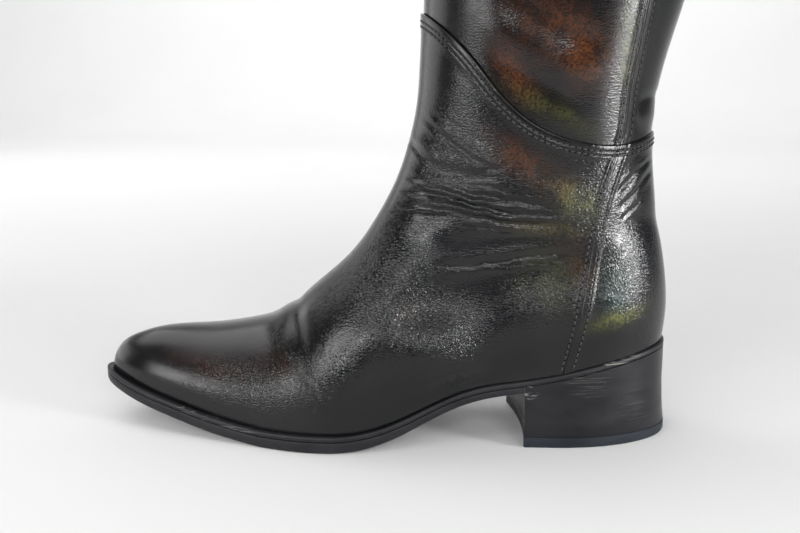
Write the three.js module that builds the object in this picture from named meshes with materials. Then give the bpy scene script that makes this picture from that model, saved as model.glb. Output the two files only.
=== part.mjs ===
// A knee-high leather boot for the left foot: top lift, heel block, outsole, welt, insole, upper and shaft.
//
// Millimetres, +Z up. The origin is on the floor under the heel, in the middle plane of the leg. X runs from
// the toe (-) to the heel (+), and Y from the outer side (-) to the inner side (+).
//
// The form of the last is one function, halfWidth(x, z): how far the leather stands from the boot's middle at
// each point of the side view. The side view itself is two lines, the ridge (toe, instep, shin) and the back
// (counter, calf). Upper and shaft are patches of that side view, mirrored about the middle and given a wall.
import * as THREE from "three";

// Driving dimensions
const GAP = 0.35; // between pieces that meet
const SEAM_GAP = 0.6; // the same, straight up, where the seam between upper and shaft runs steeply
const TOE_TIP = -238.5; // the upper's foremost point
const NOSE = 60; // length over which the toe closes in plan
const SHAFT_TOP = 425;
const UPPER_WALL = 2.0;
const SHAFT_WALL = 1.8;
const SHAFT_INSET = 1.2; // the shaft tucks under the upper's folded edge by this much
const WELT_THICK = 2.5;
const WELT_LAP = 9; // how far the welt reaches in under the upper's edge
const WELT_END = 13; // the same at the toe and the heel, where its hole ends square
const FILLER_GAP = 0.6; // between the welt's hole and the insole's lower step
const INSOLE_THICK = 3.2;
const INSOLE_INSET = 3.6; // from the upper's outer edge: its wall, the gap and the lean of the toe wall
const REST = { from: -155, to: -124 }; // flat of the tread under the ball
const TOE_SPRING = 17;
const TOE_SPRING_POWER = 1.4;
const LIFT_THICK = 5;
const HEEL_SHIFT = 1.8; // the heel's foot sits this much further back than its top
const BREAST = { x: -33.8, hollow: 2.8, skew: -4.2 }; // skew: how much further forward its inner end is
const SHIN = -86; // behind this, no ridge closes the side view from above
const FRONT_ROUND = 60; // depth over which the leather rounds in to the ridge
const BULGE_HEIGHT = 70; // the wall's swell above the seat fades out by here
const FOOT_TO_LEG = { from: 55, to: 150 }; // heights over which the foot's widths give way to the leg's
const VAMP_TO_SHIN = { from: 45, to: 130 }; // heights over which the top's rounding gives way to the shin's

// The last in plan: half width and middle of the upper at its lower edge, the swell of the wall above that
// edge, and the ledge that the welt leaves round it.
const LAST = [
  { x: -238.5, half: 18.5, centre: 7.5, swell: 0.5, ledge: 3.4 },
  { x: -224, half: 23.8, centre: 6.8, swell: 1.0, ledge: 3.4 },
  { x: -201, half: 29.1, centre: 6.8, swell: 1.5, ledge: 3.3 },
  { x: -180, half: 34.4, centre: 5.5, swell: 2.0, ledge: 3.1 },
  { x: -159, half: 39.3, centre: 2.9, swell: 2.2, ledge: 2.9 },
  { x: -139, half: 41.7, centre: -1.2, swell: 2.4, ledge: 2.8 },
  { x: -115, half: 39.3, centre: -5.0, swell: 3.0, ledge: 2.5 },
  { x: -95, half: 35.0, centre: -5.6, swell: 4.0, ledge: 2.2 },
  { x: -72, half: 30.6, centre: -5.0, swell: 5.0, ledge: 1.8 },
  { x: -50, half: 29.2, centre: -4.1, swell: 4.5, ledge: 1.5 },
  { x: -25, half: 30.0, centre: -3.6, swell: 3.5, ledge: 1.3 },
  { x: 0, half: 30.6, centre: -2.4, swell: 3.0, ledge: 1.2 },
  { x: 38, half: 30.4, centre: -0.6, swell: 3.0, ledge: 1.2 },
];

// The underside behind the ball, and the height of outsole and welt together above it. Over the heel the
// underside is the line that the sole would follow if no heel were there.
const ARCH = [
  { x: -140, tread: 0 },
  { x: -122, tread: 0 },
  { x: -107, tread: 1.7 },
  { x: -88, tread: 8.2 },
  { x: -70, tread: 17.0 },
  { x: -52, tread: 23.0 },
  { x: -34, tread: 26.2 },
  { x: 0, tread: 33.4 },
  { x: 38, tread: 40.3 },
];
const STACK = [
  { x: -245, high: 7.2 },
  { x: -200, high: 7.8 },
  { x: -140, high: 8.2 },
  { x: -110, high: 8.1 },
  { x: -77, high: 6.8 },
  { x: -50, high: 6.2 },
  { x: -34, high: 6.0 },
  { x: 38, high: 6.2 },
];

// The side view's front line, from the toe over the instep to the shin, and its back line, from the counter
// to the calf. The shaft's rows come after the seam.
const RIDGE = [
  { x: -238.3, z: 27.6 },
  { x: -237.2, z: 31.2 },
  { x: -235.2, z: 34.6 },
  { x: -231.5, z: 38.3 },
  { x: -224, z: 42.0 },
  { x: -216, z: 44.5 },
  { x: -207.5, z: 45.9 },
  { x: -198, z: 46.6 },
  { x: -186, z: 47.4 },
  { x: -174.5, z: 49.0 },
  { x: -164.5, z: 51.1 },
  { x: -156, z: 53.7 },
  { x: -150, z: 56.9 },
  { x: -144, z: 60.4 },
  { x: -138.5, z: 65.5 },
  { x: -132.5, z: 70.9 },
  { x: -121.5, z: 81.0 },
  { x: -105.5, z: 100.2 },
  { x: -95.5, z: 118.8 },
  { x: -88.6, z: 137 },
  { x: -85.0, z: 155 },
  { x: -83.2, z: 175 },
  { x: -83.0, z: 197 },
];
const SHIN_LINE = [
  { x: -83.0, z: 197 },
  { x: -82.4, z: 230 },
  { x: -82.2, z: 290 },
  { x: -82.6, z: 360 },
  { x: -82.8, z: 425 },
];
const BACK = [
  { z: 40, x: 33.4 },
  { z: 53, x: 34.9 },
  { z: 63, x: 35.5 },
  { z: 73, x: 34.6 },
  { z: 92, x: 31.3 },
  { z: 112, x: 27.8 },
  { z: 131, x: 25.4 },
  { z: 144, x: 25.3 },
  { z: 158, x: 26.4 },
  { z: 177, x: 30.3 },
  { z: 203, x: 37.4 },
  { z: 225, x: 42.4 },
  { z: 250, x: 46.6 },
  { z: 280, x: 49.8 },
  { z: 310, x: 51.1 },
  { z: 340, x: 51.2 },
  { z: 380, x: 49.8 },
  { z: 430, x: 47.6 },
];

// The leg: half width, and the depth over which it rounds in to the back line.
const LEG = [
  { z: 20, half: 32, round: 50 },
  { z: 60, half: 34, round: 49 },
  { z: 100, half: 35.5, round: 49 },
  { z: 130, half: 37, round: 51 },
  { z: 160, half: 39.5, round: 54 },
  { z: 200, half: 43.5, round: 58 },
  { z: 240, half: 47, round: 62 },
  { z: 280, half: 49.5, round: 66 },
  { z: 320, half: 50.7, round: 68 },
  { z: 360, half: 50.9, round: 68 },
  { z: 430, half: 50.2, round: 67 },
];

// The seam where the foot's leather laps the shaft: high on the shin, low behind the ankle.
const SEAM = [
  { x: -83.0, z: 197 },
  { x: -75, z: 191 },
  { x: -61, z: 178 },
  { x: -48, z: 162 },
  { x: -35, z: 150.5 },
  { x: -21.5, z: 143.8 },
  { x: -8.5, z: 140.6 },
  { x: 4.5, z: 139.6 },
  { x: 15, z: 141 },
  { x: 25.3, z: 143.8 },
];

// Curves

const lerp = (a, b, t) => a + (b - a) * t;
const clamp01 = (t) => Math.min(1, Math.max(0, t));
const smooth = (from, to, v) => {
  const t = clamp01((v - from) / (to - from));
  return t * t * (3 - 2 * t);
};
// A quarter-circle's rise: 0 at the rim, 1 once fully round.
const rounding = (share) => Math.sqrt(share * (2 - share));

// A natural cubic spline through a table: along is its running column, value the one that it gives.
function spline(rows, along, value) {
  const xs = rows.map((r) => r[along]);
  const ys = rows.map((r) => r[value]);
  const last = xs.length - 1;
  const bend = new Array(xs.length).fill(0);
  const sweep = new Array(xs.length).fill(0);
  for (let i = 1; i < last; i++) {
    const before = xs[i] - xs[i - 1];
    const after = xs[i + 1] - xs[i];
    const share = before / (before + after);
    const pivot = share * bend[i - 1] + 2;
    bend[i] = (share - 1) / pivot;
    const turn = (ys[i + 1] - ys[i]) / after - (ys[i] - ys[i - 1]) / before;
    sweep[i] = ((6 * turn) / (before + after) - share * sweep[i - 1]) / pivot;
  }
  for (let i = last - 1; i >= 0; i--) bend[i] = bend[i] * bend[i + 1] + sweep[i];
  return (x) => {
    let i = 0;
    while (i < last - 1 && x > xs[i + 1]) i++;
    const span = xs[i + 1] - xs[i];
    const b = (x - xs[i]) / span;
    const a = 1 - b;
    if (b < 0 || b > 1) {
      const end = b < 0 ? a - 1 : b - 1; // straight on past the table's ends
      const slope = b < 0 ? -2 * bend[i] - bend[i + 1] : bend[i] + 2 * bend[i + 1];
      const rise = ys[i + 1] - ys[i] + (slope * span * span) / 6;
      return b < 0 ? ys[i] - rise * end : ys[i + 1] + rise * end;
    }
    const bow = (a ** 3 - a) * bend[i] + (b ** 3 - b) * bend[i + 1];
    return a * ys[i] + b * ys[i + 1] + (bow * span * span) / 6;
  };
}

// A smooth path through side-view points, run from 0 to 1 by length.
function path(rows) {
  let run = 0;
  const marked = rows.map((r, i) => {
    if (i) run += Math.hypot(r.x - rows[i - 1].x, r.z - rows[i - 1].z);
    return { ...r, run };
  });
  const x = spline(marked, "run", "x");
  const z = spline(marked, "run", "z");
  return (t) => ({ x: x(t * run), z: z(t * run) });
}

const last = Object.fromEntries(
  ["half", "centre", "swell", "ledge"].map((name) => [name, spline(LAST, "x", name)]),
);
const archLine = spline(ARCH, "x", "tread");
const stack = spline(STACK, "x", "high");
const legHalf = spline(LEG, "z", "half");
const legRound = spline(LEG, "z", "round");
const backLine = spline(BACK, "z", "x");

// The underside: toe spring, flat under the ball, then the arch.
function tread(x) {
  if (x < REST.from) return TOE_SPRING * ((REST.from - x) / (REST.from - TOE_TIP)) ** TOE_SPRING_POWER;
  return x <= REST.to ? 0 : Math.max(0, archLine(x));
}
// The welt's top, which the upper stands on.
const seat = (x) => tread(x) + stack(x);

const ridge = path([{ x: TOE_TIP, z: seat(TOE_TIP) + GAP }, ...RIDGE]);

// The ridge as heights over x and as x over heights.
const RIDGE_STEPS = 400;
const ridgePoints = Array.from({ length: RIDGE_STEPS + 1 }, (_, i) => ridge(i / RIDGE_STEPS));
function across(points, from, to, at) {
  let i = 1;
  while (i < points.length - 1 && points[i][from] < at) i++;
  const [a, b] = [points[i - 1], points[i]];
  return lerp(a[to], b[to], clamp01((at - a[from]) / (b[from] - a[from])));
}
const ridgeTop = (x) => (x > SHIN ? Infinity : across(ridgePoints, "x", "z", x));
const shinLine = spline(SHIN_LINE, "z", "x");
const ridgeFront = (z) => (z > RIDGE.at(-1).z ? shinLine(z) : across(ridgePoints, "z", "x", z));

// How far the leather stands from the middle at a point of the side view.
function halfWidth(x, z) {
  const floor = seat(x);
  const high = ridgeTop(x) - floor;
  const down = Math.min(high, FRONT_ROUND);
  const fromTop = down > 0 ? clamp01((ridgeTop(x) - z) / down) : 0;
  const fromFront = clamp01((x - ridgeFront(z)) / FRONT_ROUND);
  const shinShare = smooth(VAMP_TO_SHIN.from, VAMP_TO_SHIN.to, z);
  const closing =
    1 +
    (1 - shinShare) * (1 / Math.max(fromTop, 1e-6) ** 2 - 1) +
    shinShare * (1 / Math.max(fromFront, 1e-6) ** 2 - 1);
  const front = rounding(1 / Math.sqrt(closing));
  const back = rounding(clamp01((backLine(z) - x) / legRound(z)));
  const nose = rounding(clamp01((x - TOE_TIP) / NOSE));
  const up = clamp01((z - floor) / Math.min(high, BULGE_HEIGHT) / 0.8);
  const foot = last.half(x) * nose + last.swell(x) * Math.sin(Math.PI * up) ** 2;
  const wide = lerp(foot, legHalf(z), smooth(FOOT_TO_LEG.from, FOOT_TO_LEG.to, z));
  return wide * front * back;
}
const middle = (x, z) => last.centre(x) * (1 - smooth(FOOT_TO_LEG.from, FOOT_TO_LEG.to, z));

// Meshes

// A closed mesh from points and four-cornered faces, with equal points merged and its faces turned outwards.
function closedGeometry(points, quads) {
  const found = new Map();
  const kept = [];
  const index = points.map((p) => {
    const key = p.map((v) => v.toFixed(4)).join();
    if (!found.has(key)) {
      found.set(key, kept.length);
      kept.push(p);
    }
    return found.get(key);
  });
  let faces = [];
  for (const [a, b, c, d] of quads.map((q) => q.map((i) => index[i])))
    for (const face of [[a, b, c], [a, c, d]]) if (new Set(face).size === 3) faces.push(face);
  const corner = (i) => new THREE.Vector3(...kept[i]);
  const volume = faces.reduce((v, [a, b, c]) => v + corner(a).dot(corner(b).cross(corner(c))), 0);
  if (volume < 0) faces = faces.map(([a, b, c]) => [a, c, b]);
  const geometry = new THREE.BufferGeometry();
  geometry.setAttribute("position", new THREE.Float32BufferAttribute(kept.flat(), 3));
  geometry.setIndex(faces.flat());
  geometry.computeVertexNormals();
  return geometry;
}

// A hollow wall between an outer and an inner stack of loops, open at its first and last loop.
function wall(outer, inner) {
  const loops = [...outer, ...inner.toReversed()];
  const count = loops[0].length;
  const quads = [];
  loops.forEach((_, j) => {
    const next = (j + 1) % loops.length;
    for (let i = 0; i < count; i++) {
      const k = (i + 1) % count;
      quads.push([j * count + i, j * count + k, next * count + k, next * count + i]);
    }
  });
  return closedGeometry(loops.flat(), quads);
}

// A plate from grids of the same size, each below the one before: the first is its top, the last its bottom.
function plate(levels) {
  const rows = levels[0].length;
  const columns = levels[0][0].length;
  const at = (level, i, k) => (level * rows + i) * columns + k;
  const rim = [];
  for (let k = 0; k < columns; k++) rim.push([0, k]);
  for (let i = 1; i < rows; i++) rim.push([i, columns - 1]);
  for (let k = columns - 2; k >= 0; k--) rim.push([rows - 1, k]);
  for (let i = rows - 2; i > 0; i--) rim.push([i, 0]);
  const quads = [];
  const bottom = levels.length - 1;
  for (let i = 0; i < rows - 1; i++)
    for (let k = 0; k < columns - 1; k++) {
      quads.push([at(0, i, k), at(0, i + 1, k), at(0, i + 1, k + 1), at(0, i, k + 1)]);
      quads.push([at(bottom, i, k), at(bottom, i, k + 1), at(bottom, i + 1, k + 1), at(bottom, i + 1, k)]);
    }
  for (let level = 0; level < bottom; level++)
    rim.forEach(([i, k], n) => {
      const [p, q] = rim[(n + 1) % rim.length];
      quads.push([at(level, i, k), at(level, p, q), at(level + 1, p, q), at(level + 1, i, k)]);
    });
  return closedGeometry(levels.flat(2), quads);
}

// Upper and shaft

const ROUND = 32; // steps along each side of a loop
// Even steps round an oval: close together at the ridge and the back.
const station = (i, count) => (1 - Math.cos((Math.PI * i) / count)) / 2;

// The side-view patch between a lower and a higher line and between ridge and back: a point for any t along
// and v up.
function patch(low, high, front, back) {
  const corners = { lowFront: low(0), lowBack: low(1), highFront: high(0), highBack: high(1) };
  const blend = (t, v, key) => {
    const flat =
      lerp(
        lerp(corners.lowFront[key], corners.lowBack[key], t),
        lerp(corners.highFront[key], corners.highBack[key], t),
        v,
      );
    return lerp(low(t)[key], high(t)[key], v) + lerp(front(v)[key], back(v)[key], t) - flat;
  };
  return (t, v) => ({ x: blend(t, v, "x"), z: blend(t, v, "z") });
}

// Loops round the boot over a patch, brought in from the last's own surface by inset(v).
function loopsOver(side, rows, inset) {
  const loops = [];
  for (let j = 0; j <= rows; j++) {
    const v = j / rows;
    const outerSide = [];
    const innerSide = [];
    for (let i = 0; i <= ROUND; i++) {
      const { x, z } = side(station(i, ROUND), v);
      const y = i === 0 || i === ROUND ? 0 : halfWidth(x, z);
      outerSide.push([x, middle(x, z) - y, z]);
      if (i && i < ROUND) innerSide.unshift([x, middle(x, z) + y, z]);
    }
    loops.push([...outerSide, ...innerSide]);
  }
  return moved(loops, inset);
}

// The same loops moved in along their own normals. The end loops move level, so that they stay on their lines.
function moved(loops, inset) {
  const rows = loops.length - 1;
  const point = (j, i) => new THREE.Vector3(...loops[j][(i + loops[j].length) % loops[j].length]);
  return loops.map((loop, j) =>
    loop.map((p, i) => {
      const round = point(j, i + 1).sub(point(j, i - 1));
      const up = point(Math.min(rows, j + 1), i).sub(point(Math.max(0, j - 1), i));
      const normal = round.cross(up);
      if (j === 0 || j === rows) normal.z = 0;
      return new THREE.Vector3(...p).addScaledVector(normal.normalize(), -inset(j / rows)).toArray();
    }),
  );
}

// Where the back line meets the welt.
let seatBack = BACK[0].x;
for (let i = 0; i < 5; i++) seatBack = backLine(seat(seatBack));
const lowerEdge = (t) => {
  const x = lerp(TOE_TIP, seatBack, t);
  return { x, z: seat(x) + GAP };
};
const seamLine = path(SEAM);
const tuckLine = (t) => ({ x: seamLine(t).x, z: seamLine(t).z + SEAM_GAP }); // the shaft's lower edge
const shin = path([tuckLine(0), ...SHIN_LINE.slice(1)]);
const counterLine = (v) => {
  const z = lerp(lowerEdge(1).z, seamLine(1).z, v);
  return { x: backLine(z), z };
};
const calfLine = (v) => {
  const z = lerp(tuckLine(1).z, SHAFT_TOP, v);
  return { x: backLine(z), z };
};
const collarLine = (t) => ({ x: lerp(shin(1).x, backLine(SHAFT_TOP), t), z: SHAFT_TOP });

function makeUpper() {
  const side = patch(lowerEdge, seamLine, ridge, counterLine);
  const outer = loopsOver(side, 18, () => 0);
  return wall(outer, moved(outer, () => UPPER_WALL));
}

function makeShaft() {
  const side = patch(tuckLine, collarLine, shin, calfLine);
  const outer = loopsOver(side, 9, () => SHAFT_INSET);
  return wall(outer, moved(outer, () => SHAFT_WALL));
}

// The sole in plan

// The upper's lower edge, moved out by offset(x): gives y over x for each side.
function outline(offset) {
  const steps = 240;
  const loop = [];
  for (const sign of [-1, 1])
    for (let i = 0; i <= steps; i++) {
      const t = station(sign < 0 ? i : steps - i, steps);
      const x = lerp(TOE_TIP, seatBack, t);
      const open = t > 0 && t < 1;
      if (sign < 0 || open) loop.push([x, last.centre(x) + sign * (open ? halfWidth(x, seat(x)) : 0)]);
    }
  const count = loop.length;
  const grown = loop.map(([x, y], i) => {
    const [ax, ay] = loop[(i + count - 1) % count];
    const [bx, by] = loop[(i + 1) % count];
    const length = Math.hypot(bx - ax, by - ay);
    return { x: x + ((by - ay) / length) * offset(x), y: y - ((bx - ax) / length) * offset(x) };
  });
  const outerSide = grown.slice(0, steps + 1);
  const innerSide = [grown[0], ...grown.slice(steps).toReversed()];
  return {
    tip: grown[0].x,
    back: grown[steps].x,
    y: (x, share) => lerp(across(outerSide, "x", "y", x), across(innerSide, "x", "y", x), share),
  };
}

const ledge = outline((x) => last.ledge(x));
const footEdge = outline((x) => last.ledge(x) - 0.3);
const insoleEdge = outline(() => -INSOLE_INSET);
const holeEdge = outline(() => -WELT_LAP);
const fillerEdge = outline(() => -WELT_LAP - FILLER_GAP);
const SOLE_STEPS = 40;
const SOLE_COLUMNS = 6;

// A grid over an outline between two stations along the sole, at the height z(x).
function grid(edge, from, to, steps, z, place = station) {
  return Array.from({ length: steps + 1 }, (_, i) => {
    const x = lerp(from, to, place(i, steps));
    return Array.from({ length: SOLE_COLUMNS + 1 }, (_, k) => [x, edge.y(x, k / SOLE_COLUMNS), z(x)]);
  });
}

function makeInsole() {
  const insole = (z) => grid(insoleEdge, insoleEdge.tip, insoleEdge.back, SOLE_STEPS, z);
  const end = WELT_END + FILLER_GAP;
  const filler = (z) => grid(fillerEdge, TOE_TIP + end, seatBack - end, SOLE_STEPS, z);
  return plate([
    insole((x) => seat(x) + GAP + INSOLE_THICK),
    insole((x) => seat(x) + GAP),
    filler((x) => seat(x) + GAP),
    filler((x) => seat(x) - WELT_THICK),
  ]);
}

function makeWelt() {
  const loopOf = (edge, from, to, z) => {
    const [outerSide, innerSide] = [[], []];
    for (let i = 0; i <= SOLE_STEPS; i++) {
      const x = lerp(from, to, station(i, SOLE_STEPS));
      outerSide.push([x, edge.y(x, 0), z(x)]);
      innerSide.unshift([x, edge.y(x, 1), z(x)]);
    }
    return [...outerSide, ...innerSide];
  };
  const rim = (z) => loopOf(ledge, ledge.tip, ledge.back, z);
  const hole = (z) => loopOf(holeEdge, TOE_TIP + WELT_END, seatBack - WELT_END, z);
  const under = (x) => seat(x) - WELT_THICK;
  return wall([rim(under), rim(seat)], [hole(under), hole(seat)]);
}

// The heel's breast, from the outer side to the inner: hollow in plan, and skewed.
function breast(column) {
  const share = column / SOLE_COLUMNS;
  return BREAST.hollow * 4 * share * (1 - share) + BREAST.skew * share;
}

function makeOutsole() {
  const end = BREAST.x - GAP;
  const reach = 40; // the last rows before the breast lean into its curve
  const level = (edge, z) =>
    grid(edge, edge.tip, end, SOLE_STEPS, z, (i, count) => 1 - Math.cos((Math.PI / 2) * (i / count))).map(
      (row) =>
        row.map(([x, y], k) => {
          const near = clamp01(1 - (end - x) / reach) ** 2;
          const at = x + near * breast(k);
          return [at, y, z(at)];
        }),
    );
  const top = (x) => seat(x) - WELT_THICK - GAP;
  return plate([level(ledge, top), level(footEdge, tread)]);
}

// The heel's plan at one height: the seat's outline behind the breast, its back moved out by shift.
function heelLevel(shift, z) {
  const towardsBack = (i, count) => Math.sin((Math.PI / 2) * (i / count));
  return grid(ledge, BREAST.x, ledge.back, 14, () => 0, towardsBack).map((row) =>
    row.map(([x, y], k) => {
      const near = (ledge.back - x) / (ledge.back - BREAST.x);
      const at = x + near ** 2 * breast(k);
      return [at + shift * (1 - near), y, z(at)];
    }),
  );
}

function makeHeel() {
  return plate([
    heelLevel(0, (x) => seat(x) - WELT_THICK - GAP),
    heelLevel(HEEL_SHIFT, () => LIFT_THICK + GAP),
  ]);
}

function makeTopLift() {
  return plate([heelLevel(HEEL_SHIFT, () => LIFT_THICK), heelLevel(HEEL_SHIFT, () => 0)]);
}

// Materials and the assembly

const LEATHER = { color: 0x17161a, roughness: 0.32 };
const SOLE_RUBBER = { color: 0x1c1d21, roughness: 0.6 };
const HEEL_FINISH = { color: 0x222226, roughness: 0.5 };
const LIFT_RUBBER = { color: 0x24262c, roughness: 0.7 };
const LINING = { color: 0x8a7a66, roughness: 0.8 };

const boot = new THREE.Group();
function add(name, geometry, finish) {
  const mesh = new THREE.Mesh(geometry, new THREE.MeshStandardMaterial(finish));
  mesh.name = name;
  boot.add(mesh);
}

add("top_lift", makeTopLift(), LIFT_RUBBER);
add("heel", makeHeel(), HEEL_FINISH);
add("outsole", makeOutsole(), SOLE_RUBBER);
add("welt", makeWelt(), SOLE_RUBBER);
add("insole", makeInsole(), LINING);
add("upper", makeUpper(), LEATHER);
add("shaft", makeShaft(), LEATHER);

export default boot;
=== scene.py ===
import math

import bpy
import numpy as np
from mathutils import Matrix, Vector


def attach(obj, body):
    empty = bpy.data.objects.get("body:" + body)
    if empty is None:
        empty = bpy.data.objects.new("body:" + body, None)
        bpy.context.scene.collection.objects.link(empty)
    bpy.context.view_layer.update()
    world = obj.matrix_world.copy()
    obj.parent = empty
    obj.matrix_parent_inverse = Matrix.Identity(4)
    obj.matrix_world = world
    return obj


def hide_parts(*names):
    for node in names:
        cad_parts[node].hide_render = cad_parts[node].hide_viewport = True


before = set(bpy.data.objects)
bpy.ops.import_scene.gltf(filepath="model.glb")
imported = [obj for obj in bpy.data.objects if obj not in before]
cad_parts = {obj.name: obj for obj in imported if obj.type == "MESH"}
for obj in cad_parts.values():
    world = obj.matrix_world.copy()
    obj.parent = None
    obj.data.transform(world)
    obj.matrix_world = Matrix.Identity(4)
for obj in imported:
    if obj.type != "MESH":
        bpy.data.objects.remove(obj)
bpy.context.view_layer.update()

MM = 0.001


def numbers(text):
    """Rows of numbers, parted by commas."""
    return np.array([row.split() for row in text.split(",")], float)


def table(names, text):
    """Rows of numbers under plain column names."""
    return dict(zip(names.split(), numbers(text).T))


# -------- The form of the last, as the solids have it

TOE_TIP = -238.5
NOSE = 60.0
SHAFT_TOP = 425.0
UPPER_WALL = 2.0
SHAFT_WALL = 1.8
SHAFT_INSET = 1.2
WELT_THICK = 2.5
REST = (-155.0, -124.0)
TOE_SPRING = 17.0
TOE_SPRING_POWER = 1.4
LIFT_THICK = 5.0
JOINT = 0.12  # the thin line between two pieces of the bottom
HEEL_SHIFT = 1.8
BREAST_X = -33.8
BREAST_HOLLOW = 2.8
BREAST_SKEW = -4.2
SHIN = -86.0
FRONT_ROUND = 60.0
BULGE_HEIGHT = 70.0
FOOT_TO_LEG = (55.0, 150.0)
VAMP_TO_SHIN = (45.0, 130.0)

LAST = table("x half centre swell ledge", """
    -238.5 18.5 7.5 0.5 3.4, -224 23.8 6.8 1.0 3.4, -201 29.1 6.8 1.5 3.3, -180 34.4 5.5 2.0 3.1,
    -159 39.3 2.9 2.2 2.9, -139 41.7 -1.2 2.4 2.8, -115 39.3 -5.0 3.0 2.5, -95 35.0 -5.6 4.0 2.2,
    -72 30.6 -5.0 5.0 1.8, -50 29.2 -4.1 4.5 1.5, -25 30.0 -3.6 3.5 1.3, 0 30.6 -2.4 3.0 1.2,
    38 30.4 -0.6 3.0 1.2
""")
ARCH = table("x tread", """
    -140 0, -122 0, -107 1.7, -88 8.2, -70 17.0, -52 23.0, -34 26.2, 0 33.4, 38 40.3
""")
STACK = table("x high", """
    -245 7.2, -200 7.8, -140 8.2, -110 8.1, -77 6.8, -50 6.2, -34 6.0, 38 6.2
""")
RIDGE = table("x z", """
    -238.3 27.6, -237.2 31.2, -235.2 34.6, -231.5 38.3, -224 42.0, -216 44.5, -207.5 45.9,
    -198 46.6, -186 47.4, -174.5 49.0, -164.5 51.1, -156 53.7, -150 56.9, -144 60.4, -138.5 65.5,
    -132.5 70.9, -121.5 81.0, -105.5 100.2, -95.5 118.8, -88.6 137, -85.0 155, -83.2 175,
    -83.0 197
""")
SHIN_LINE = table("x z", """
    -83.0 197, -82.4 230, -82.2 290, -82.6 360, -82.8 425
""")
BACK = table("z x", """
    40 33.4, 53 34.9, 63 35.5, 73 34.6, 92 31.3, 112 27.8, 131 25.4, 144 25.3, 158 26.4, 177 30.3,
    203 37.4, 225 42.4, 250 46.6, 280 49.8, 310 51.1, 340 51.2, 380 49.8, 430 47.6
""")
LEG = table("z half round", """
    20 32.0 50, 60 34.0 49, 100 35.5 49, 130 37.0 51, 160 39.5 54, 200 43.5 58, 240 47.0 62,
    280 49.5 66, 320 50.7 68, 360 50.9 68, 430 50.2 67
""")
SEAM = table("x z", """
    -83.0 197, -75 191, -61 178, -48 162, -35 150.5, -21.5 143.8, -8.5 140.6, 4.5 139.6, 15 141,
    25.3 143.8
""")
# The seam down each side, from the welt over the ankle to the top.
SIDE_SEAM = table("x z", """
    -15.5 34, -11.5 52, -6.0 85, -0.7 116, 5.0 134, 7.5 142, 9.0 160, 11.8 181, 15.0 203,
    18.5 240, 20.5 300, 20.0 360, 18.5 430
""")


def spline(xs, ys):
    """A natural cubic spline, straight past its ends."""
    xs, ys = np.asarray(xs, float), np.asarray(ys, float)
    count = len(xs)
    step = np.diff(xs)
    slope = np.diff(ys) / step
    system = np.eye(count)
    right = np.zeros(count)
    for i in range(1, count - 1):
        system[i, i - 1 : i + 2] = step[i - 1], 2 * (step[i - 1] + step[i]), step[i]
        right[i] = 6 * (slope[i] - slope[i - 1])
    bend = np.linalg.solve(system, right)
    first = slope[0] - step[0] * (2 * bend[0] + bend[1]) / 6
    final = slope[-1] + step[-1] * (bend[-2] + 2 * bend[-1]) / 6

    def value(x):
        x = np.asarray(x, float)
        i = np.clip(np.searchsorted(xs, x) - 1, 0, count - 2)
        h = step[i]
        a, b = (xs[i + 1] - x) / h, (x - xs[i]) / h
        inside = a * ys[i] + b * ys[i + 1]
        inside = inside + ((a**3 - a) * bend[i] + (b**3 - b) * bend[i + 1]) * h * h / 6
        before = ys[0] + first * (x - xs[0])
        after = ys[-1] + final * (x - xs[-1])
        return np.where(x < xs[0], before, np.where(x > xs[-1], after, inside))

    return value


def path(xs, zs):
    """A smooth path through side-view points, run from 0 to 1 by length."""
    run = np.concatenate([[0], np.cumsum(np.hypot(np.diff(xs), np.diff(zs)))])
    x, z = spline(run, xs), spline(run, zs)
    return lambda t: (x(np.asarray(t) * run[-1]), z(np.asarray(t) * run[-1]))


def clamp01(v):
    return np.clip(v, 0.0, 1.0)


def smooth(low, high, v):
    t = clamp01((v - low) / (high - low))
    return t * t * (3 - 2 * t)


def lerp(a, b, t):
    return a + (b - a) * t


def rounding(share):
    return np.sqrt(np.maximum(share * (2 - share), 0))


last = {name: spline(LAST["x"], LAST[name]) for name in ("half", "centre", "swell", "ledge")}
arch_line = spline(ARCH["x"], ARCH["tread"])
stack = spline(STACK["x"], STACK["high"])
back_line = spline(BACK["z"], BACK["x"])
leg_half = spline(LEG["z"], LEG["half"])
leg_round = spline(LEG["z"], LEG["round"])
shin_line = spline(SHIN_LINE["z"], SHIN_LINE["x"])
side_seam = spline(SIDE_SEAM["z"], SIDE_SEAM["x"])


def tread(x):
    """The underside: toe spring, flat under the ball, then the arch."""
    spring = TOE_SPRING * clamp01((REST[0] - x) / (REST[0] - TOE_TIP)) ** TOE_SPRING_POWER
    beyond = np.maximum((REST[0] - x) / (REST[0] - TOE_TIP), 1.0) ** TOE_SPRING_POWER
    return np.where(x < REST[1], spring * beyond, np.maximum(0, arch_line(x)))


def seat(x):
    """The welt's top, which the upper stands on."""
    return tread(x) + stack(x)


GAP = 0.35
ridge = path(
    np.concatenate([[TOE_TIP], RIDGE["x"]]), np.concatenate([[float(seat(TOE_TIP)) + GAP], RIDGE["z"]])
)
ridge_x, ridge_z = ridge(np.linspace(0, 1, 801))


def ridge_top(x):
    return np.where(x > SHIN, 1e6, np.interp(x, ridge_x, ridge_z))


def ridge_front(z):
    return np.where(z > RIDGE["z"][-1], shin_line(z), np.interp(z, ridge_z, ridge_x))


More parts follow.
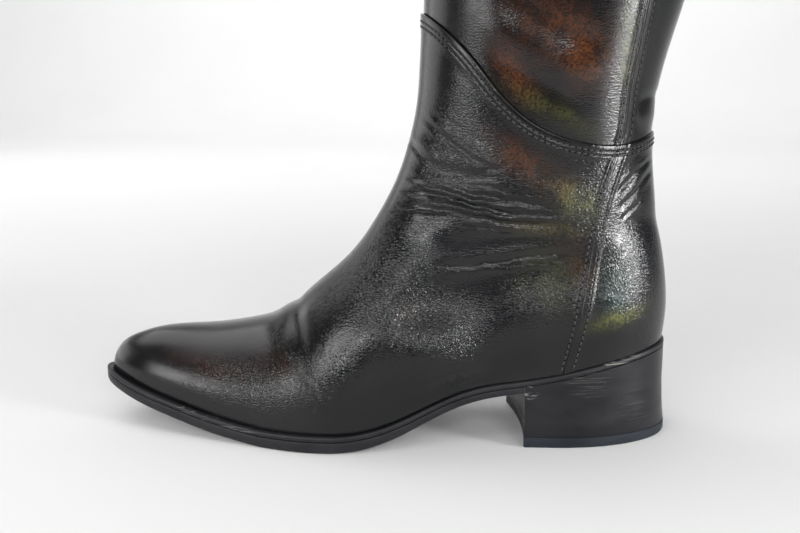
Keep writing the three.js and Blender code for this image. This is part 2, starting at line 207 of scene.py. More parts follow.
def half_width(x, z):
    """How far the leather stands from the boot's middle at a point of the side view."""
    floor = seat(x)
    high = ridge_top(x) - floor
    down = np.minimum(high, FRONT_ROUND)
    from_top = np.where(down > 0, clamp01((ridge_top(x) - z) / np.maximum(down, 1e-9)), 0)
    from_front = clamp01((x - ridge_front(z)) / FRONT_ROUND)
    shin_share = smooth(*VAMP_TO_SHIN, z)
    closing = 1 + (1 - shin_share) * (1 / np.maximum(from_top, 1e-6) ** 2 - 1)
    closing = closing + shin_share * (1 / np.maximum(from_front, 1e-6) ** 2 - 1)
    front = rounding(1 / np.sqrt(closing))
    back = rounding(clamp01((back_line(z) - x) / leg_round(z)))
    nose = rounding(clamp01((x - TOE_TIP) / NOSE))
    up = clamp01((z - floor) / np.maximum(np.minimum(high, BULGE_HEIGHT), 1e-9) / 0.8)
    foot = last["half"](x) * nose + last["swell"](x) * np.sin(np.pi * up) ** 2
    wide = lerp(foot, leg_half(z), smooth(*FOOT_TO_LEG, z))
    return wide * front * back


def middle(x, z):
    return last["centre"](x) * (1 - smooth(*FOOT_TO_LEG, z))


seat_back = BACK["x"][0]
for _ in range(5):
    seat_back = float(back_line(seat(seat_back)))

seam_line = path(SEAM["x"], SEAM["z"])
seam_x, seam_z = seam_line(np.linspace(0, 1, 401))


def outward(x, y, z):
    """The leather's own normals: the slope of (y - middle)^2 - width^2, smooth even at ridge and back."""
    step = 0.25

    def level(px, pz):
        return (y - middle(px, pz)) ** 2 - half_width(px, pz) ** 2

    normal = np.stack([
        (level(x + step, z) - level(x - step, z)) / (2 * step),
        2 * (y - middle(x, z)),
        (level(x, z + step) - level(x, z - step)) / (2 * step),
    ], axis=-1)
    return normal / np.maximum(np.linalg.norm(normal, axis=-1, keepdims=True), 1e-9)


# -------- Creases, folds and seams, as heights above the last's surface

def crease_lines(text):
    """Rows of a side, a depth (- is a ridge), a half width and points x z along the leather."""
    for line in text.strip().splitlines():
        if not line.strip().startswith("#"):
            side, *values = line.split()
            depth, width, *points = map(float, values)
            yield side, depth, width, np.reshape(points, (-1, 2))


CREASES = list(crease_lines("""
    # the vamp's flex: a hump over the ridge and the trough behind it, then fine folds down to the welt
    both 0.42 2.7  -139.5 66  -139.5 58  -138 49  -135 42
    both -0.6 4.4  -147 62  -147 54  -145 46  -143 40
    outer 0.65 1.0  -135.5 45  -133 35  -129.5 25  -131 15
    outer 0.65 1.0  -133.5 42  -129 31  -123 22  -121 15
    outer 0.5 0.9  -139 45  -136.5 37  -133 29
    outer 0.4 0.9  -131 37  -127 31  -121 26
    outer 0.35 0.8  -137 40  -134.5 30  -134 21
    outer -0.55 2.0  -132 36  -127.5 27  -126 17
    inner 0.6 1.4  -134 46  -131 34  -128 22
    inner 0.5 1.3  -130 42  -125 30  -120 21
    inner 0.4 1.2  -140 44  -138 34  -137 27
    # the ankle's folds, round the bend of the instep
    both 0.9 1.3  -93 126  -82 123  -69 120.5  -58 118  -47 117  -34 114.5  -20 113
    both -0.9 2.2  -90 122  -78 120  -66 117.5  -54 115  -43 112
    both 0.9 1.2  -93 119  -84 117.5  -72 116.5  -60 114  -46 110.5  -32 107.5
    both -1.0 2.4  -86 113.8  -76 113.5  -66 112  -54 110  -40 108
    both 1.1 1.4  -94 112  -82 111  -70 110.5  -57 108.5  -43 106  -30 104.5  -16 105.5
    outer 0.5 0.9  -72 123.8  -58 122.2  -47 121  -38 118
    outer 0.5 0.9  -54 113  -41 110  -30 109.5  -18 109
    outer 0.45 0.9  -62 105.8  -48 103  -36 101.5
    outer 0.45 0.9  -78 116  -70 114  -64 114.5  -56 112
    outer 0.4 0.8  -86 121  -78 118  -72 118.5
    inner 0.6 1.1  -66 124  -52 121  -40 116  -26 112
    # slanted folds above them, from the shin down and back
    outer 0.59 1.3  -89 142  -83.5 136  -78 131.5  -72 129.5
    outer -0.52 2.4  -85 143  -79 137  -73 133
    outer 0.52 1.1  -84 154  -77 147  -70 141  -62 136  -54 131.5  -46 127.5
    outer 0.39 0.9  -80 155  -73 149  -65.5 143.5  -58 139  -50 134.5
    outer 0.29 0.8  -73 152  -66 147  -60 143
    outer -0.45 2.2  -76 150  -68 143.8  -60 139  -51 134.5
    outer 0.78 3.2  -88 128.5  -76 127.5  -64 127  -53 126  -45 128
    outer 0.33 0.9  -58 128  -50 129.5  -43 132
    inner 0.52 1.6  -88 139  -78 131  -66 127  -52 127
    inner 0.33 1.3  -82 150  -70 141  -56 134
    # the long fold from the side seam into the arch, and the slack leather under it
    outer 0.54 1.8  -8 93.5  -22 91.5  -36 90  -50 88  -64 86.5  -80 86
    outer 0.24 0.9  -12 90  -24 88  -38 86.5  -50 85.5
    # behind the ankle, under the seam
    outer 0.35 1.1  3 118  10 123  17 129  24 133
    outer 0.35 1.2  5 110.5  12 116  18 123  25 128
    outer -0.35 2.2  5 115  13 120.5  20 127
    outer 0.25 0.9  7 106  13 110  19 116
    outer 0.2 0.9  12 133  17 137  22 138
    inner 0.3 1.3  5 114  12 121  20 129
    inner 0.23 1.2  8 108  15 117  23 125
"""))
SOFT_WIDTH = 3.5  # wider creases than this have no raised lips
LIP = 0.35  # a lip's height, as a share of the crease's depth
LIP_PLACE = 1.9  # and its distance from the crease's middle, in half widths
REACH = 3.2  # half widths past which a crease is not felt
# Slack leather, as low swells (+) and hollows (-), by side: middle x z, half length and height, lean, rise
SWELLS = {
    "outer": numbers("""
        -68 41 24 15 18 3.5, -60 66 22 14 18 -1.2, -104 56 24 10 6 1.2, -136 32 9 18 0 -0.4,
        -76 95 20 8 10 -0.5, -64 134 14 6 25 0.8, -20 74 14 20 -20 -1.0
    """),
    "both": numbers("""
        -71 105 15 9 -8 1.1, -38 100 22 5.5 -4 -1.1, -30 119 24 6 10 0.5, 20 104 16 7 0 -0.8
    """),
    "inner": numbers("""
        -66 40 18 12 18 2.0, -100 58 20 10 8 1.2, -30 70 18 20 -20 -1.0
    """),
}
FOLD_BAND = 5.4  # the folded edge's double leather, down from the curved seam
FOLD_RISE = 0.25
SEAM_BAND = 3.5  # half width of the raised band along the side seams
SEAM_RISE = 0.45
STITCH_ROWS = (2.1, 4.1)  # under the curved seam's edge
SEAM_ROWS = 2.6  # each side of the side seam


def to_segment(x, z, start, end):
    """Distance to a segment, and how far along it (0 to 1) the nearest place is."""
    dx, dz = end[0] - start[0], end[1] - start[1]
    t = clamp01(((x - start[0]) * dx + (z - start[1]) * dz) / (dx * dx + dz * dz))
    return np.hypot(x - start[0] - t * dx, z - start[1] - t * dz), t


def polyline_distance(x, z, points):
    """Distance from each (x, z) to a smoothed line, and how far along it (0 to 1) the nearest place is."""
    px, pz = points.T
    if len(points) > 2:
        px, pz = path(px, pz)(np.linspace(0, 1, 6 * len(points)))
    run = np.concatenate([[0], np.cumsum(np.hypot(np.diff(px), np.diff(pz)))])
    places = list(zip(px, pz))
    best, along = np.full(x.shape, 1e9), np.zeros(x.shape)
    for i in range(len(places) - 1):
        d, t = to_segment(x, z, places[i], places[i + 1])
        nearer = d < best
        best = np.where(nearer, d, best)
        along = np.where(nearer, lerp(run[i], run[i + 1], t) / run[-1], along)
    return best, along


def fading(along):
    """1 along a line's middle, falling to 0 at its ends."""
    return smooth(0, 0.25, along) * smooth(1, 0.75, along)


def on_side(side, outer):
    """Which points a crease or swell of that side reaches."""
    return np.ones(outer.shape, bool) if side == "both" else outer == (side == "outer")


def crease_height(x, z, outer):
    """Sum of all creases at side-view points; outer says which are on the outer side."""
    height = np.zeros(x.shape)
    waver = 0.32 * np.sin(x / 3.7 + 1.6 * np.sin(x / 8.3)) + 0.16 * np.sin(x / 1.3 + z / 4.1)
    x, z = x + 0.35 * np.sin(z / 2.9 + x / 11), z + waver
    for side, depth, width, points in CREASES:
        low, high = points.min(axis=0) - REACH * width, points.max(axis=0) + REACH * width
        near = on_side(side, outer) & (x > low[0]) & (x < high[0]) & (z > low[1]) & (z < high[1])
        if near.any():
            d, along = polyline_distance(x[near], z[near], points)
            profile = np.exp(-((d / width) ** 2))
            if width < SOFT_WIDTH:
                profile -= LIP * np.exp(-(((d - LIP_PLACE * width) / width) ** 2))
            height[near] -= depth * fading(along) * profile
    return height


def lean_share(x, z, cx, cz, long, high, lean):
    """1 at the middle of a leaning ellipse, falling off softly."""
    turn = math.radians(lean)
    along = (x - cx) * math.cos(turn) - (z - cz) * math.sin(turn)
    across = (x - cx) * math.sin(turn) + (z - cz) * math.cos(turn)
    return np.exp(-((along / long) ** 2 + (across / high) ** 2))


def swell_height(x, z, outer):
    height = np.zeros(x.shape)
    for side, swells in SWELLS.items():
        for *spot, rise in swells:
            height += rise * lean_share(x, z, *spot) * on_side(side, outer)
    return height


def seam_distance(x, z):
    """How far below the curved seam a side-view point is (above is negative)."""
    d = np.full(x.shape, 1e9)
    places = list(zip(seam_x, seam_z))[::4]
    for start, end in zip(places, places[1:]):
        d = np.minimum(d, to_segment(x, z, start, end)[0])
    below = z < np.interp(x, seam_x, seam_z)
    return np.where(below, d, -d)


def side_distance(x, z):
    """Signed distance from the side seam, - towards the toe."""
    lean = (side_seam(z + 1) - side_seam(z - 1)) / 2
    return (x - side_seam(z)) / np.sqrt(1 + lean * lean)


def band(d, half, soft=0.9):
    return smooth(half + soft, half - soft, np.abs(d))


def upper_height(x, z, outer):
    height = crease_height(x, z, outer)
    edge = seam_distance(x, z)
    height = height * smooth(0, 7, edge)
    height += swell_height(x, z, outer) * smooth(0, 14, z - seat(x)) * smooth(0, 12, x - ridge_front(z))
    side = side_distance(x, z)
    height = height * (1 - 0.75 * band(side, 5.0, 3.0))
    height += SEAM_RISE * band(side, SEAM_BAND) * smooth(FOLD_BAND - 1, FOLD_BAND + 1, edge)
    height += FOLD_RISE * smooth(FOLD_BAND + 0.8, FOLD_BAND - 0.8, edge)
    # soft unevenness of worn leather over the flexing parts
    soft = 0.35 * np.sin(x / 9.0 + z / 17.0) * np.sin(z / 11.0 - x / 23.0 + 1.0)
    return height + soft * smooth(45, 75, z) * smooth(0, 20, edge)


SHAFT_CREASES = list(crease_lines("""
    both 0.5 5.0  -55 178  -30 166  -8 155
    both 0.5 6.0  -50 205  -25 190  0 180
    both -0.6 7.0  -60 196  -30 180  -4 168
    both 0.5 2.2  14 158  22 161  30 160
    both -0.5 4.0  13 151  20 152  27 151
"""))


def shaft_height(x, z, outer):
    side = side_distance(x, z)
    height = SEAM_RISE * band(side, SEAM_BAND)
    low = smooth(235, 150, z)
    sway = 0.5 * np.sin(x / 21.0 + z / 34.0 + np.where(outer, 0.0, 1.3)) * np.sin(z / 41.0 + 0.7)
    height = height + sway * (0.3 + 0.7 * low)
    for _, depth, width, points in SHAFT_CREASES:
        d, along = polyline_distance(x, z, points)
        height = height - depth * fading(along) * np.exp(-((d / width) ** 2)) * (np.abs(side) > SEAM_BAND)
    return height


# -------- Meshes


def make_mesh(name, points, faces, slots=None, attributes=None):
    """A mesh object from points in millimetres; slots gives each face's material number."""
    faces = [tuple(map(int, face)) for face in faces]
    mesh = bpy.data.meshes.new(name)
    mesh.from_pydata((np.asarray(points, float) * MM).tolist(), [], faces)
    if slots is not None:
        mesh.polygons.foreach_set("material_index", np.asarray(slots, np.int32))
    mesh.polygons.foreach_set("use_smooth", np.ones(len(faces), bool))
    for key, values in (attributes or {}).items():
        values = np.asarray(values, np.float32)
        if values.ndim == 1:
            mesh.attributes.new(key, "FLOAT", "POINT").data.foreach_set("value", values)
        else:
            rgba = np.concatenate([values, np.ones((len(values), 1), np.float32)], axis=1)
            mesh.attributes.new(key, "FLOAT_COLOR", "POINT").data.foreach_set("color", rgba.ravel())
    mesh.update()
    obj = bpy.data.objects.new(name, mesh)
    bpy.context.scene.collection.objects.link(obj)
    return obj


def dress(obj, slot, materials, *nodes):
    """Materials, body and the CAD nodes that a piece stands for; slot is not used."""
    for material in materials:
        obj.data.materials.append(material)
    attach(obj, "root")
    if nodes:
        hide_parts(*nodes)


def ring_quads(loops, count):
    """Quads between successive loops of count points, and from the last loop back to the first."""
    row, column = np.meshgrid(np.arange(loops) * count, np.arange(count), indexing="ij")
    after, beside = (row + count) % (loops * count), (column + 1) % count
    corners = [row + column, row + beside, after + beside, after + column]
    return np.stack(corners, axis=-1).reshape(-1, 4)


def station(count):
    return (1 - np.cos(np.pi * np.arange(count + 1) / count)) / 2


def patch(low, high, front, back, ts, vs):
    """Side-view points of a patch between two lines and two ends, for all t along and v up."""
    t, v = ts[None, :], vs[:, None]
    out = []
    for axis in (0, 1):
        lo, hi = low(ts)[axis][None, :], high(ts)[axis][None, :]
        fr, ba = front(vs)[axis][:, None], back(vs)[axis][:, None]
        flat = lerp(lerp(lo[0, 0], lo[0, -1], t), lerp(hi[0, 0], hi[0, -1], t), v)
        out.append(lerp(lo, hi, v) + lerp(fr, ba, t) - flat)
    return out


def loops_over(near_side, far_side):
    """Loops round the boot from side-view rows: the outer side from front to back, the inner side back."""
    sides = []
    for (x, z), sign in ((near_side, -1.0), (far_side, 1.0)):
        half = half_width(x, z)
        half[:, 0] = 0
        half[:, -1] = 0
        sides.append((x, middle(x, z) + sign * half, z))
    xs, ys, zs = (np.concatenate([near, far[:, -2:0:-1]], axis=1) for near, far in zip(*sides))
    outer = np.zeros(xs.shape, bool)
    outer[:, : near_side[0].shape[1]] = True
    return xs, ys, zs, outer


def crowded(count, low, high, extra):
    """Rows from 0 to 1, crowded between low and high."""
    fine = np.linspace(0, 1, 2001)
    weight = 1 + extra * smooth(low - 0.08, low + 0.08, fine) * smooth(high + 0.08, high - 0.08, fine)
    run = np.concatenate([[0], np.cumsum((weight[1:] + weight[:-1]) / 2)])
    return np.interp(np.linspace(0, run[-1], count), run, fine)


def lower_edge(t):
    x = lerp(TOE_TIP, seat_back, t)
    return x, seat(x) + 0.1


def counter_line(v):
    z = lerp(float(lower_edge(1.0)[1]), SEAM["z"][-1], v)
    return back_line(z), z


TUCK = 5.0  # the shaft goes on down behind the upper's edge


def tuck_line(t):
    x, z = seam_line(t)
    return x, z - TUCK


def shin(v):
    z = lerp(SEAM["z"][0] - TUCK, SHAFT_TOP, np.asarray(v))
    return ridge_front(z), z


def calf_line(v):
    z = lerp(float(tuck_line(1.0)[1]), SHAFT_TOP, v)
    return back_line(z), z


def collar_line(t):
    return lerp(float(shin(1.0)[0]), float(back_line(SHAFT_TOP)), t), np.full(np.shape(t), SHAFT_TOP)


# Painted coloured reflections on the outer side, as brown, olive and teal tints in the base colour: middle x
# z, half length and height, lean, then red green blue and strength
PAINTED_REFLECTIONS = numbers("""
    -26 190 22 13 20 0.30 0.085 0.012 0.75,
    -43 171 12 6 55 0.36 0.09 0.015 0.8,
    -12 176 9 12 -35 0.34 0.10 0.015 0.6,
    -26 156 20 4.5 28 0.20 0.20 0.05 0.75,
    6 186 3 26 0 0.26 0.30 0.08 0.6,
    -38 134 15 6 32 0.32 0.09 0.012 0.75,
    -22 124 12 5 32 0.26 0.12 0.02 0.6,
    -12 115 10 6 38 0.42 0.44 0.10 0.85,
    -24 103 16 3 3 0.28 0.22 0.04 0.6,
    -24 80 12 14 -50 0.14 0.15 0.03 0.6,
    -10 86 6 12 -30 0.26 0.09 0.02 0.45,
    6 75 7 10 -10 0.16 0.36 0.30 0.7,
    8 62 10 3.5 -14 0.50 0.52 0.06 0.9,
    -182 33 26 7 8 0.16 0.06 0.035 0.55,
    -148 37 12 9 30 0.20 0.10 0.06 0.4,
    -88 66 7 4 -20 0.28 0.20 0.15 0.5
""")


def painted_reflection_colour(x, z, outer):
    """Colour and strength of the painted coloured reflection at each point."""
    colour = np.zeros(x.shape + (3,))
    for row in PAINTED_REFLECTIONS:
        spot, tint, strength = row[:5], row[5:8], row[8]
        share = lean_share(x, z, *spot) * strength * outer
        colour += share[..., None] * tint
    return colour


# Where the leather is pebbled or finely creased: middle x z, half length and height, lean, strength
CREASED = {
    "pebbled": numbers("""
        -92 72 36 22 25 1.0, -66 52 16 16 20 1.0, 14 72 16 34 0 0.6, -160 26 26 12 6 1.0,
        -125 30 24 16 0 0.6, -14 112 20 18 20 1.0, -66 130 16 24 0 0.8, -34 128 22 12 25 0.6,
        -24 74 22 26 20 0.5
    """),
    "level_creases": numbers("""
        -62 115 34 13 6 1.0, -30 108 26 8 4 0.7, -40 90 32 6 6 0.6
    """),
    "falling_creases": numbers("""
        -66 141 18 14 30 0.8, -12 117 13 16 0 1.0, -16 172 26 14 30 0.6, -98 74 16 14 0 0.5
    """),
    "rising_creases": numbers("""
        15 122 12 14 0 1.0, 8 78 12 20 0 0.6, -100 90 10 10 0 0.5
    """),
    "steep_creases": numbers("""
        -129 31 11 18 0 1.0, -112 44 10 12 0 0.5
    """),
}


def crease_masks(x, z):
    """How strongly the pebbled grain and each net of fine creases show at each point."""
    masks = {name: np.zeros(x.shape) for name in CREASED}
    for name, spots in CREASED.items():
        for *spot, strength in spots:
            masks[name] = np.maximum(masks[name], lean_share(x, z, *spot) * strength)
    return masks


UPPER_STEPS = (330, 170)  # along the outer side and along the inner side
UPPER_ROWS = 156
SHAFT_STEPS = (200, 140)
SHAFT_ROWS = 200
LINING_ROWS = 20
RIM = 0.7  # radius of a folded or cut edge
RIM_STEPS = 4
BEVEL = 0.3  # where the rim meets the inner face
THINNING = (0.82, 0.93)  # where the upper thins towards its top, as shares of its height


def shell(name, sides, height, wall, inset, bottom_round, thin_top=None):
    """A hollow leather piece: its outer face with creases, rolled rims, and an inner face that follows."""
    xs, ys, zs, outer = loops_over(*sides)
    normals = outward(xs, ys, zs)
    base = np.stack([xs, ys, zs], axis=-1)
    lift = height(xs, zs, outer)
    outside = base + normals * (lift - inset)[..., None]
    flat = normals.copy()
    flat[..., 2] = 0
    flat /= np.maximum(np.linalg.norm(flat, axis=-1, keepdims=True), 1e-9)
    rows = list(outside)
    marks = [0] * len(rows)

    def rim(edge, inward, ends_up, depth):
        """Points over a rounded edge and down to the inner face."""
        up = np.array([0, 0, 1 if ends_up else -1])
        turned = []
        for k in range(1, RIM_STEPS + 1):
            a = k * math.pi / (2 * RIM_STEPS)
            turned.append(edge - inward * (RIM * (1 - math.cos(a))) + up * RIM * math.sin(a))
        turned.append(edge - inward * (depth - BEVEL) + up * RIM)
        turned.append(edge - inward * depth + up * (RIM - BEVEL))
        return turned

    picks = np.unique(np.linspace(0, len(rows) - 1, LINING_ROWS).astype(int))[::-1]
    inner = []
    for j in picks:
        depth = wall
        if thin_top is not None:
            depth = lerp(wall, thin_top, smooth(*THINNING, j / (len(rows) - 1)))
        push = normals[j] if 0 < j < len(rows) - 1 else flat[j]
        inner.append(base[j] + push * (lift[j] - inset - depth)[:, None])
    top = rim(rows[-1], flat[-1], True, thin_top or wall)
    rows += top
    marks += [0] * RIM_STEPS + [1] * (len(top) - RIM_STEPS)
    rows += inner
    marks += [1] * len(inner)
    if bottom_round:
        bottom = rim(outside[0], flat[0], False, wall)[::-1]
        rows += bottom
        marks += [1] * (len(bottom) - RIM_STEPS) + [0] * RIM_STEPS
    count = xs.shape[1]
    points = np.concatenate(rows)
    quads = ring_quads(len(rows), count)
    slots = np.repeat(marks, count)
    px, pz = points[:, 0], points[:, 2]
    side = points[:, 1] < middle(px, pz)
    attributes = {
        "side_seam": side_distance(px, pz),
        "edge": seam_distance(px, pz),
        "painted_reflection": painted_reflection_colour(px, pz, side),
    }
    attributes.update(crease_masks(px, pz))
    return make_mesh(name, points, quads, slots=slots, attributes=attributes)


STITCH_PITCH = 2.9
THREAD = 0.36  # radius
THREAD_RINGS = 6
ROUND = np.arange(6) * math.pi / 3  # the angles round a thread or hole


def surface_frame(x, z, outer, height, inset):
    """Places on the leather with their outward directions."""
    sign = -1.0 if outer else 1.0
    y = middle(x, z) + sign * half_width(x, z)
    normal = outward(x, y, z)
    flag = np.full(np.shape(x), outer)
    point = np.stack([x, y, z], axis=-1) + normal * (height(x, z, flag) - inset)[..., None]
    return point, normal


def spaced(points, normals):
    """Even places along a line: middle, direction and normal of each stitch."""
    run = np.concatenate([[0], np.cumsum(np.linalg.norm(np.diff(points, axis=0), axis=1))])
    at = (np.arange(int(run[-1] / STITCH_PITCH)) + 0.5) * STITCH_PITCH

    def place(s):
        return np.stack([np.interp(s, run, points[:, k]) for k in range(3)], axis=-1)

    ahead, behind = place(at + STITCH_PITCH * 0.4), place(at - STITCH_PITCH * 0.4)
    direction = ahead - behind
    direction /= np.linalg.norm(direction, axis=1, keepdims=True)
    normal = np.stack([np.interp(at, run, normals[:, k]) for k in range(3)], axis=-1)
    normal /= np.linalg.norm(normal, axis=1, keepdims=True)
    return place(at), direction, normal


def tube_faces(start, rings, sides):
    """Faces of a closed tube whose points begin at start: its walls, and a fan of triangles at each end."""
    walls, ends = [], []
    for ring in range(start, start + (rings - 1) * sides, sides):
        for k in range(sides):
            beside = (k + 1) % sides
            walls.append((ring + k, ring + beside, ring + sides + beside, ring + sides + k))
    for ring in (start, start + (rings - 1) * sides):
        ends += [(ring, ring + k, ring + k + 1) for k in range(1, sides - 1)]
    return walls, ends


def thread_rings(c, d, n, w):
    """One stitch, from hole to hole: middle c, along d, up n and across w."""
    for s in np.linspace(-1, 1, THREAD_RINGS):
        thick = math.sqrt(max(0.0, 1 - s**4)) * 0.85 + 0.15
        middle_of_ring = c + d * (s * STITCH_PITCH * 0.40) + n * (0.08 - 0.34 * abs(s) ** 3)
        for a in ROUND:
            yield middle_of_ring + (w * math.cos(a) * 1.15 + n * math.sin(a) * 0.85) * THREAD * thick


def hole_rings(c, d, n, w):
    """The needle hole after a stitch: a small disc lying on the leather, painted near black as the hole's
    shade.
    """
    hole = c + d * (STITCH_PITCH * 0.5) + n * 0.05
    for level, radius in ((-0.25, 0.34), (0.0, 0.40)):
        for a in ROUND:
            yield hole + n * level + (w * math.cos(a) + d * math.sin(a) * 0.8) * radius


def stitch_mesh(name, rows, slot):
    """Rows of stitches as one joined mesh: a thread between two needle holes for each, the holes painted
    dark as shade.
    """
    points, walls, ends, wall_slots, end_slots = [], [], [], [], []
    for centre, direction, normal in rows:
        for place in zip(centre, direction, normal, np.cross(direction, normal)):
            for part, rings, material in ((thread_rings, THREAD_RINGS, 0), (hole_rings, 2, 1)):
                more_walls, more_ends = tube_faces(len(points), rings, len(ROUND))
                points += part(*place)
                walls += more_walls
                ends += more_ends
                wall_slots += [material] * len(more_walls)
                end_slots += [material] * len(more_ends)
    stitches = make_mesh(name, points, walls + ends, wall_slots + end_slots)
    dress(stitches, slot, [thread_black, painted_hole_shade])


# -------- Materials


class Nodes:
    """A material's node tree, built with short calls."""

    def __init__(self, name, **sockets):
        self.material = bpy.data.materials.new(name)
        self.material.use_nodes = True
        self.tree = self.material.node_tree
        self.shader = self.tree.nodes["Principled BSDF"]
        for key, value in sockets.items():
            self.shader.inputs[key.replace("_", " ")].default_value = value
        self.coordinates = self.tree.nodes.new("ShaderNodeTexCoord").outputs["Object"]

    def add(self, kind, links=None, **settings):
        node = self.tree.nodes.new(kind)
        for key, value in settings.items():
            setattr(node, key, value)
        for key, value in (links or {}).items():
            socket = node.inputs[key]
            if isinstance(value, bpy.types.NodeSocket):
                self.tree.links.new(value, socket)
            else:
                socket.default_value = value
        return node

    def link(self, output, name):
        self.tree.links.new(output, self.shader.inputs[name])

    def stretched(self, scale, lean):
        """Object coordinates in millimetres times scale (one number, or x, y, z), leaned by some degrees."""
        links = {"Vector": self.coordinates, "Rotation": (0, math.radians(lean), 0)}
        links["Scale"] = [share / MM for share in np.broadcast_to(scale, 3)]
        return self.add("ShaderNodeMapping", links).outputs["Vector"]

    def noise(self, scale, detail=3.0, rough=0.55, lean=0):
        vector = self.stretched(scale, lean)
        links = {"Vector": vector, "Scale": 1.0, "Detail": detail, "Roughness": rough}
        return self.add("ShaderNodeTexNoise", links).outputs["Fac"]

    def cells(self, scale, waver, lean=0):
        """Distance to the edges of irregular cells, whose outlines waver."""
        vector = self.stretched(scale, lean)
        drift = self.add("ShaderNodeTexNoise", {"Vector": vector, "Scale": 0.8, "Detail": 2.0})
        moved = self.add("ShaderNodeVectorMath", {0: drift.outputs["Color"], 1: (waver, waver, waver)},
                         operation="MULTIPLY")
        moved = self.add("ShaderNodeVectorMath", {0: vector, 1: moved.outputs["Vector"]}, operation="ADD")
        links = {"Vector": moved.outputs["Vector"], "Scale": 1.0}
        return self.add("ShaderNodeTexVoronoi", links, feature="DISTANCE_TO_EDGE").outputs["Distance"]

    def math(self, operation, a, b=0.0, c=0.0):
        return self.add("ShaderNodeMath", {0: a, 1: b, 2: c}, operation=operation).outputs[0]

    def span(self, value, low, high, to_low=0.0, to_high=1.0):
        """value from low..high to to_low..to_high, with soft ends."""
        links = {"Value": value, "From Min": low, "From Max": high, "To Min": to_low, "To Max": to_high}
        return self.add("ShaderNodeMapRange", links, interpolation_type="SMOOTHSTEP").outputs["Result"]

    def attribute(self, name, output="Fac"):
        return self.add("ShaderNodeAttribute", attribute_name=name).outputs[output]

    def mix(self, factor, a, b, blend="MIX"):
        """Colours a and b mixed; 0, 6, 7 and 2 are the colour sockets of the mix node."""
        links = {0: factor, 6: a, 7: b}
        return self.add("ShaderNodeMix", links, data_type="RGBA", blend_type=blend).outputs[2]

    def bump(self, height, distance, strength=1.0, normal=None):
        """A height in 0..1 that stands distance millimetres high."""
        links = {"Height": height, "Distance": distance * MM, "Strength": strength}
        if normal is not None:
            links["Normal"] = normal
        return self.add("ShaderNodeBump", links).outputs["Normal"]

    def near(self, centre, radius):
        """1 at a place given in millimetres, fading to 0 at radius."""
        apart = self.add("ShaderNodeVectorMath", {0: self.coordinates, 1: tuple(v * MM for v in centre)},
                         operation="DISTANCE").outputs["Value"]
        return self.span(apart, radius * MM, radius * 0.35 * MM)


def rgb(r, g, b):
    return (r, g, b, 1.0)


# Nets of fine creasing: mask, stretch (x, y, z) per mm, lean in degrees, depth
CREASE_NETS = [
    ("level_creases", (0.20, 0.20, 0.80), 5, 0.085),
    ("falling_creases", (0.22, 0.22, 0.90), -32, 0.08),
    ("rising_creases", (0.24, 0.24, 0.90), 38, 0.06),
    ("steep_creases", (0.90, 0.90, 0.18), 14, 0.07),
]
GRAIN_HIGH = 0.125
GRAIN_LOW = 0.025
PAINTED_REFLECTION_STRENGTH = 0.24


def leather(name, has_edge):
    """Black polished leather: pebbled grain that breaks up the shine, fine creases, and patches of painted
    coloured reflection.
    """
    n = Nodes(name, IOR=1.40, Coat_Weight=0.12, Coat_Roughness=0.14, Coat_IOR=1.45)
    cloud = n.noise(0.028, 4)
    fine = n.noise(1.1, 2, 0.6)
    base = n.mix(n.span(cloud, 0.35, 0.7), rgb(0.0016, 0.0017, 0.0021), rgb(0.0045, 0.0046, 0.0054))
    # Painted reflection: coloured tints added to the black base colour stand in for coloured reflections,
    # broken up by blotch and speckle.
    blotch = n.span(n.noise(0.10, 3, 0.6), 0.32, 0.62, 0.25, 1.0)
    speckle = n.span(n.noise(0.9, 2, 0.6), 0.35, 0.65, 0.3, 1.0)
    tint = n.mix(1.0, n.attribute("painted_reflection", "Color"), n.math("MULTIPLY", blotch, speckle), "MULTIPLY")
    base = n.mix(PAINTED_REFLECTION_STRENGTH, base, tint, "ADD")
    side = n.attribute("side_seam")
    groove = n.span(n.math("ABSOLUTE", n.math("ADD", side, 0.8)), 0.25, 0.8)
    base = n.mix(groove, rgb(0.001, 0.001, 0.001), base)
    n.link(base, "Base Color")
    rough = n.math("ADD", n.span(cloud, 0.3, 0.75, 0.14, 0.21), n.span(fine, 0.3, 0.7, -0.02, 0.04))
    n.link(rough, "Roughness")
    cells = n.span(n.cells(0.85, 0.5), 0.0, 0.35)
    pebbled = n.math("MULTIPLY_ADD", n.attribute("pebbled"), GRAIN_HIGH - GRAIN_LOW, GRAIN_LOW)
    height = n.math("MULTIPLY", n.math("MULTIPLY_ADD", fine, 0.8, cells), pebbled)
    broken = n.span(cloud, 0.38, 0.55)
    for mask, stretch, lean, deep in CREASE_NETS:
        net = n.span(n.cells(stretch, 0.55, lean), 0.0, 0.22, 0.0, deep)
        share = n.math("MULTIPLY", n.attribute(mask), broken)
        height = n.math("MULTIPLY_ADD", net, share, height)
    height = n.math("MULTIPLY_ADD", groove, 0.4, height)
    rows = [(side, -SEAM_ROWS), (side, SEAM_ROWS)]
    if has_edge:
        rows += [(n.attribute("edge"), offset) for offset in STITCH_ROWS]
    for distance, offset in rows:
        channel = n.span(n.math("ABSOLUTE", n.math("SUBTRACT", distance, offset)), 0.1, 0.85, 0.0, 0.15)
        height = n.math("ADD", channel, height)
    normal = n.bump(height, 1.0)
    n.link(normal, "Normal")
    n.link(normal, "Coat Normal")
    return n.material


def lining():
    n = Nodes("lining_leather", Roughness=0.7)
    cloud = n.noise(0.05, 3)
    n.link(n.mix(n.span(cloud, 0.3, 0.7), rgb(0.10, 0.075, 0.055), rgb(0.15, 0.115, 0.085)), "Base Color")
    n.link(n.bump(n.noise(1.2, 3), 0.08, 0.6), "Normal")
    return n.material


def thread():
    n = Nodes("thread", Roughness=0.5)
    n.link(n.mix(n.noise(0.4, 2), rgb(0.010, 0.010, 0.011), rgb(0.028, 0.028, 0.03)), "Base Color")
    n.link(n.bump(n.noise((2.5, 2.5, 6.0), 1), 0.08, 0.8), "Normal")
    return n.material
